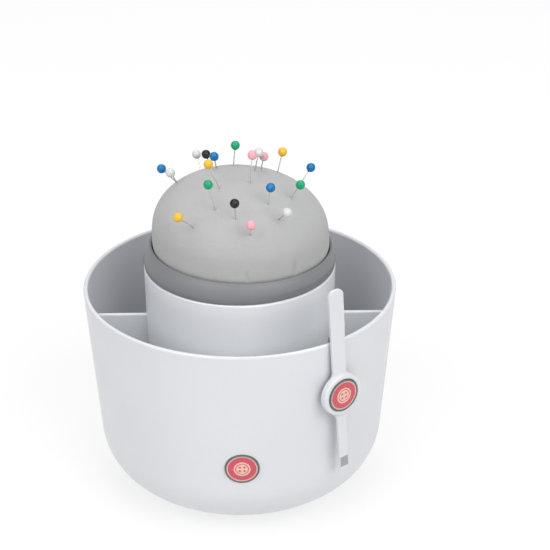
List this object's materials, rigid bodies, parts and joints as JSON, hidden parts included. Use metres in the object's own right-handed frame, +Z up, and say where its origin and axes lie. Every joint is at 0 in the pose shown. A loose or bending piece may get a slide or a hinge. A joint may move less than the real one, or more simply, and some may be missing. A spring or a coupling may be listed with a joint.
{
  "type": "lazy susan organizer",
  "caption": "Round desk and sewing caddy on a turntable: deep rounded tub with dividers, a lidded centre cup topped by a domed pincushion with ball pins, and a wand hung on the rim.",
  "frame": {"origin": "on the floor, at the turntable's axis, under the middle of the base", "axes": "+Z up along the turning axis; -Y out of the badged front; +X to the right seen from the front"},
  "size_m": [0.1498, 0.1498, 0.1747],
  "materials": {
    "tub_white": "smooth moulded, satin to gloss, cool white",
    "wand_white": "smooth moulded, satin, white",
    "collar_grey": "fine moulded satin, mid grey",
    "cushion_fabric": "fine knitted fabric, light grey, soft",
    "board_card": "plain board",
    "black_plastic": "moulded, matt",
    "foot_rubber": "matt, soft",
    "race_steel": "pressed, plated",
    "screw_steel": "zinc plated",
    "ball_chrome": "polished",
    "bush_nylon": "natural nylon",
    "hook_steel": "plated spring steel",
    "tip_grey": "matt grey inlay",
    "pin_steel": "polished nickel-plated wire",
    "badge_bezel": "dark olive grey, satin",
    "badge_band": "pale pink enamel",
    "badge_enamel": "crimson enamel, glossy",
    "badge_emblem": "pale peach enamel",
    "head_blue": "glossy moulded ball",
    "head_white": "glossy moulded ball",
    "head_black": "glossy moulded ball",
    "head_yellow": "glossy moulded ball",
    "head_green": "glossy moulded ball",
    "head_pink": "glossy moulded ball"
  },
  "bodies": {
    "base": {"base_plate": "black_plastic", "rubber_feet": "foot_rubber", "lower_race": "race_steel", "lower_race_screws": "screw_steel", "pivot_post": "race_steel", "retaining_washer": "screw_steel", "retaining_screw": "screw_steel"},
    "tub": {"tub_shell": "tub_white", "left_divider": "tub_white", "right_divider": "tub_white", "centre_cup": "tub_white", "cup_screws": "screw_steel", "hub_bush": "bush_nylon", "hub_cap": "tub_white", "upper_race": "race_steel", "upper_race_screws": "screw_steel", "tub_badge_bezel": "badge_bezel", "tub_badge_band": "badge_band", "tub_badge_field": "badge_enamel", "tub_badge_emblem": "badge_emblem"},
    "ball_cage_body": {"ball_cage": "bush_nylon", "bearing_balls": "ball_chrome"},
    "pincushion": {"collar": "collar_grey", "cushion_board": "board_card", "board_screws": "screw_steel", "cushion": "cushion_fabric", "pin_shafts": "pin_steel", "pin_heads_blue": "head_blue", "pin_heads_white": "head_white", "pin_heads_black": "head_black", "pin_heads_yellow": "head_yellow", "pin_heads_green": "head_green", "pin_heads_pink": "head_pink"},
    "wand": {"wand_body": "wand_white", "wand_tip": "tip_grey", "wand_hook": "hook_steel", "hook_rivet": "hook_steel", "wand_badge_bezel": "badge_bezel", "wand_badge_band": "badge_band", "wand_badge_field": "badge_enamel", "wand_badge_emblem": "badge_emblem"}
  },
  "joints": [
    {"name": "turntable", "type": "hinge", "parent": "base", "child": "tub", "pos_m": [0, 0, 0.005], "axis": [0, 0, 1], "continuous": true},
    {"name": "cage_spin", "type": "hinge", "parent": "base", "child": "ball_cage_body", "pos_m": [0, 0, 0.005], "axis": [0, 0, 1], "continuous": true},
    {"name": "lid_lift", "type": "slide", "parent": "tub", "child": "pincushion", "axis": [0, 0, 1], "range_m": [0, 0.07]},
    {"name": "wand_lift", "type": "slide", "parent": "tub", "child": "wand", "axis": [-0.0619, -0.0424, 0.9972], "range_m": [0, 0.08]}
  ],
  "couplings": [
    {"joint": "cage_spin", "follows": "turntable", "ratio": 0.5}
  ]
}
